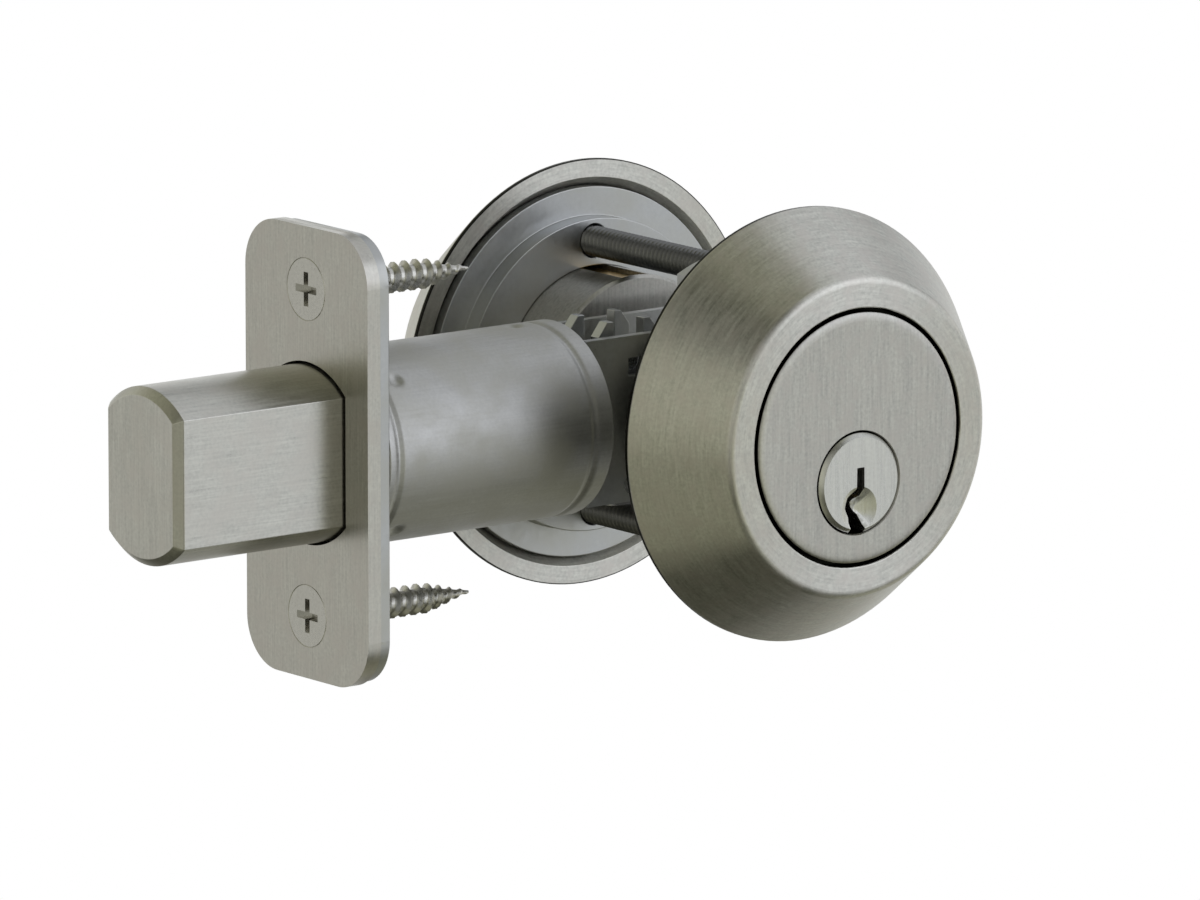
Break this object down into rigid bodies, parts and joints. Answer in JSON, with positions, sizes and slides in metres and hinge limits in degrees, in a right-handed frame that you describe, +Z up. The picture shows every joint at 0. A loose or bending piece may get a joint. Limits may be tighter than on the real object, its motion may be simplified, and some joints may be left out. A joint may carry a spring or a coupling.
{
  "type": "double-cylinder deadbolt door lock",
  "caption": "Double-cylinder deadbolt with tapered round keyed trims on both sides of the door, a tubular bolt unit and a rounded faceplate.",
  "frame": {"origin": "centre of the door's cross bore, on the outside face of the door", "axes": "-Y outdoors, +Y indoors, +Z up, the bolt leaves the door edge towards -X"},
  "size_m": [0.1133, 0.0694, 0.0572],
  "materials": {
    "satin_nickel_collar": "satin nickel plate on brass, turned grain",
    "satin_nickel_face": "satin nickel plate on brass, straight grain",
    "satin_nickel_plug": "fine satin nickel plate on brass",
    "satin_nickel_bolt": "satin nickel plate on brass",
    "satin_nickel_plate": "satin nickel plate on steel, straight grain",
    "zinc_plated_steel": "zinc plate with a pale blue passivation",
    "cast_zinc": "raw die cast zinc alloy",
    "hardened_steel": "ground hardened steel",
    "black_screw_steel": "black oxide steel",
    "spring_steel": "tempered spring steel",
    "pin_brass": "turned brass"
  },
  "bodies": {
    "lock_body": {"outside_collar": "satin_nickel_collar", "outside_guard_ring": "zinc_plated_steel", "outside_spring_washer": "spring_steel", "outside_cylinder_housing": "satin_nickel_face", "outside_anti_drill_pins": "hardened_steel", "outside_chamber_cap": "pin_brass", "outside_driver_pins": "pin_brass", "outside_pin_springs": "spring_steel", "outside_bracket": "zinc_plated_steel", "bracket_screws": "black_screw_steel", "inside_collar": "satin_nickel_collar", "collar_set_screw": "black_screw_steel", "inside_retaining_ring": "spring_steel", "inside_cylinder_housing": "satin_nickel_face", "inside_anti_drill_pins": "hardened_steel", "inside_chamber_cap": "pin_brass", "inside_driver_pins": "pin_brass", "inside_pin_springs": "spring_steel", "inside_mounting_plate": "zinc_plated_steel", "mounting_screws": "black_screw_steel", "faceplate": "satin_nickel_plate", "back_plate": "zinc_plated_steel", "faceplate_screws": "satin_nickel_plate", "bolt_tube": "zinc_plated_steel", "outside_case_plate": "zinc_plated_steel", "inside_case_plate": "zinc_plated_steel", "case_block": "zinc_plated_steel", "case_rivets": "hardened_steel", "detent_spring": "spring_steel"},
    "outside_key_plug": {"outside_plug": "satin_nickel_plug", "outside_key_pins": "pin_brass", "outside_driver": "cast_zinc", "outside_driver_screws": "black_screw_steel"},
    "inside_key_plug": {"inside_plug": "satin_nickel_plug", "inside_key_pins": "pin_brass", "inside_driver": "cast_zinc", "inside_driver_screws": "black_screw_steel"},
    "crank": {"tailpiece": "hardened_steel", "bolt_hub": "cast_zinc", "crank_pin": "hardened_steel"},
    "bolt": {"bolt_head": "satin_nickel_bolt", "bolt_tail": "zinc_plated_steel", "tail_rivets": "hardened_steel", "roller_plug": "hardened_steel"},
    "roller": {"anti_saw_roller": "hardened_steel"}
  },
  "joints": [
    {"name": "outside_plug_turn", "type": "hinge", "parent": "lock_body", "child": "outside_key_plug", "pos_m": [0, 0, -0.0057], "axis": [0, 1, 0], "range_deg": [0, 90]},
    {"name": "inside_plug_turn", "type": "hinge", "parent": "lock_body", "child": "inside_key_plug", "pos_m": [0, 0.04445, -0.0057], "axis": [0, 1, 0], "range_deg": [0, 90]},
    {"name": "crank_turn", "type": "hinge", "parent": "lock_body", "child": "crank", "pos_m": [0, 0.02223, -0.0057], "axis": [0, 1, 0], "range_deg": [0, 90]},
    {"name": "bolt_throw", "type": "slide", "parent": "lock_body", "child": "bolt", "axis": [1, 0, 0], "range_m": [0, 0.0254]},
    {"name": "roller_spin", "type": "hinge", "parent": "bolt", "child": "roller", "pos_m": [-0.068, 0.02223, -0.0045], "axis": [1, 0, 0], "continuous": true}
  ],
  "couplings": [
    {"joint": "crank_turn", "follows": "outside_plug_turn", "ratio": 1},
    {"joint": "inside_plug_turn", "follows": "outside_plug_turn", "ratio": 1},
    {"joint": "bolt_throw", "follows": "outside_plug_turn", "m_per_rad": 0.01617}
  ]
}
